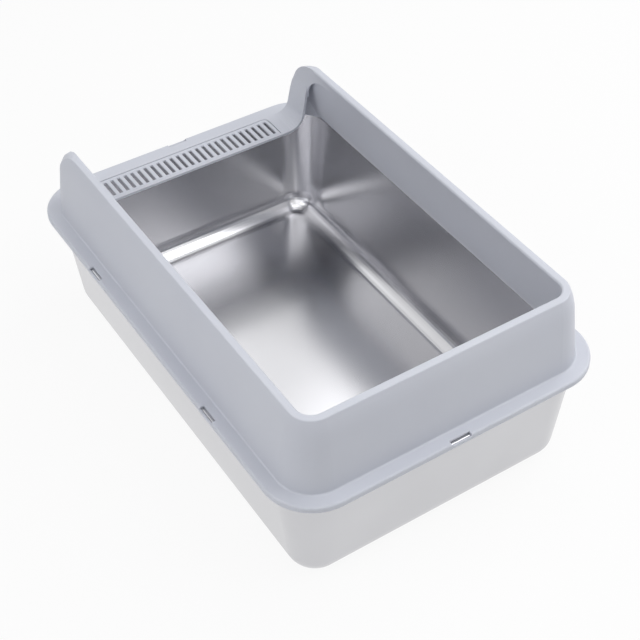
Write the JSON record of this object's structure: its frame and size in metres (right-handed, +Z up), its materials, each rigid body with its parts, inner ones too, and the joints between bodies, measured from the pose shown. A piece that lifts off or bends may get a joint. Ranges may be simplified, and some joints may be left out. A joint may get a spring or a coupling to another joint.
{
  "type": "top entry litter box",
  "caption": "High-sided cat litter box: deep-drawn steel pan with a lift-off plastic surround that has a low entry deck, rounded wings and a slotted grille.",
  "frame": {"origin": "centre of the pan's footprint, on the surface it stands on", "axes": "+Z up; +Y along the length, from the low entry end to the closed high end; +X to the right seen from the entry end"},
  "size_m": [0.398, 0.6, 0.242],
  "materials": {
    "pan_steel": "satin deep-drawn stainless steel",
    "surround_plastic": "satin moulding, light blue-grey",
    "grille_plastic": "satin moulding, light blue-grey"
  },
  "bodies": {
    "pan": {"litter_pan": "pan_steel"},
    "surround": {"enclosure": "surround_plastic"},
    "grille": {"entry_grille": "grille_plastic"}
  },
  "joints": [
    {"name": "surround_lift", "type": "slide", "parent": "pan", "child": "surround", "axis": [0, 0, 1], "range_m": [0, 0.12]},
    {"name": "grille_lift", "type": "slide", "parent": "surround", "child": "grille", "axis": [0, 0, 1], "range_m": [0, 0.04]}
  ]
}
